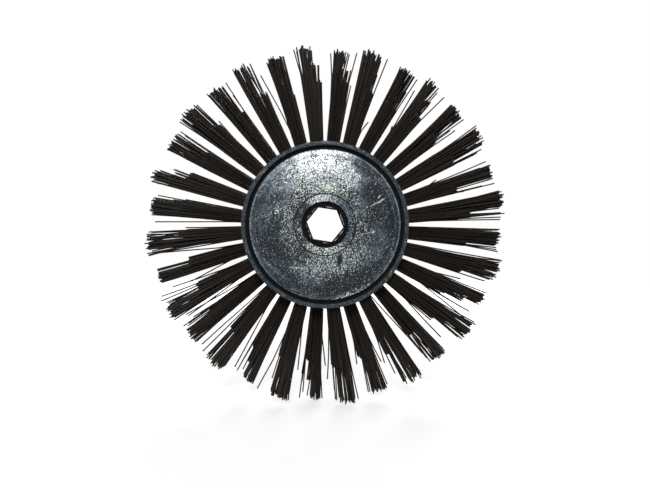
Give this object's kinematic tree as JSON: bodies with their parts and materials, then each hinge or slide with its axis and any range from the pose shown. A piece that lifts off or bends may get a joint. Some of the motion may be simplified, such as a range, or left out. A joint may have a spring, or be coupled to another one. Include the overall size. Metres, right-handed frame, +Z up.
{
  "type": "wire drum brush",
  "caption": "Wheel-shaped wire brush: a moulded drum with two staggered rows of folded wire tufts, domed covers and a hexagonal bore for a drive shaft.",
  "frame": {"origin": "centre of the hub, where the drum's axis meets its mid plane", "axes": "+Y along the drum's axis towards the rear cover, +Z up and +X to the right as seen from the front, with the brush standing on its wires"},
  "size_m": [0.349, 0.057, 0.349],
  "materials": {
    "drum_plastic": "black moulded plastic with a cool satin sheen and light scuffs",
    "cover_plastic": "black moulded plastic, glossy and finely grained, dusty and scratched",
    "bush_plastic": "matte black",
    "wire_steel": "dark oil-tempered wire, dull",
    "anchor_steel": "bright flat wire"
  },
  "bodies": {
    "root": {"drum_core": "drum_plastic", "hex_bush": "bush_plastic", "front_cover": "cover_plastic", "rear_cover": "cover_plastic", "front_anchors": "anchor_steel", "rear_anchors": "anchor_steel", "tuft_01": "wire_steel", "tuft_02": "wire_steel", "tuft_03": "wire_steel", "tuft_04": "wire_steel", "tuft_05": "wire_steel", "tuft_06": "wire_steel", "tuft_07": "wire_steel", "tuft_08": "wire_steel", "tuft_09": "wire_steel", "tuft_10": "wire_steel", "tuft_11": "wire_steel", "tuft_12": "wire_steel", "tuft_13": "wire_steel", "tuft_14": "wire_steel", "tuft_15": "wire_steel", "tuft_16": "wire_steel", "tuft_17": "wire_steel", "tuft_18": "wire_steel", "tuft_19": "wire_steel", "tuft_20": "wire_steel", "tuft_21": "wire_steel", "tuft_22": "wire_steel", "tuft_23": "wire_steel", "tuft_24": "wire_steel", "tuft_25": "wire_steel", "tuft_26": "wire_steel", "tuft_27": "wire_steel", "tuft_28": "wire_steel", "tuft_29": "wire_steel", "tuft_30": "wire_steel", "tuft_31": "wire_steel", "tuft_32": "wire_steel"}
  },
  "joints": []
}
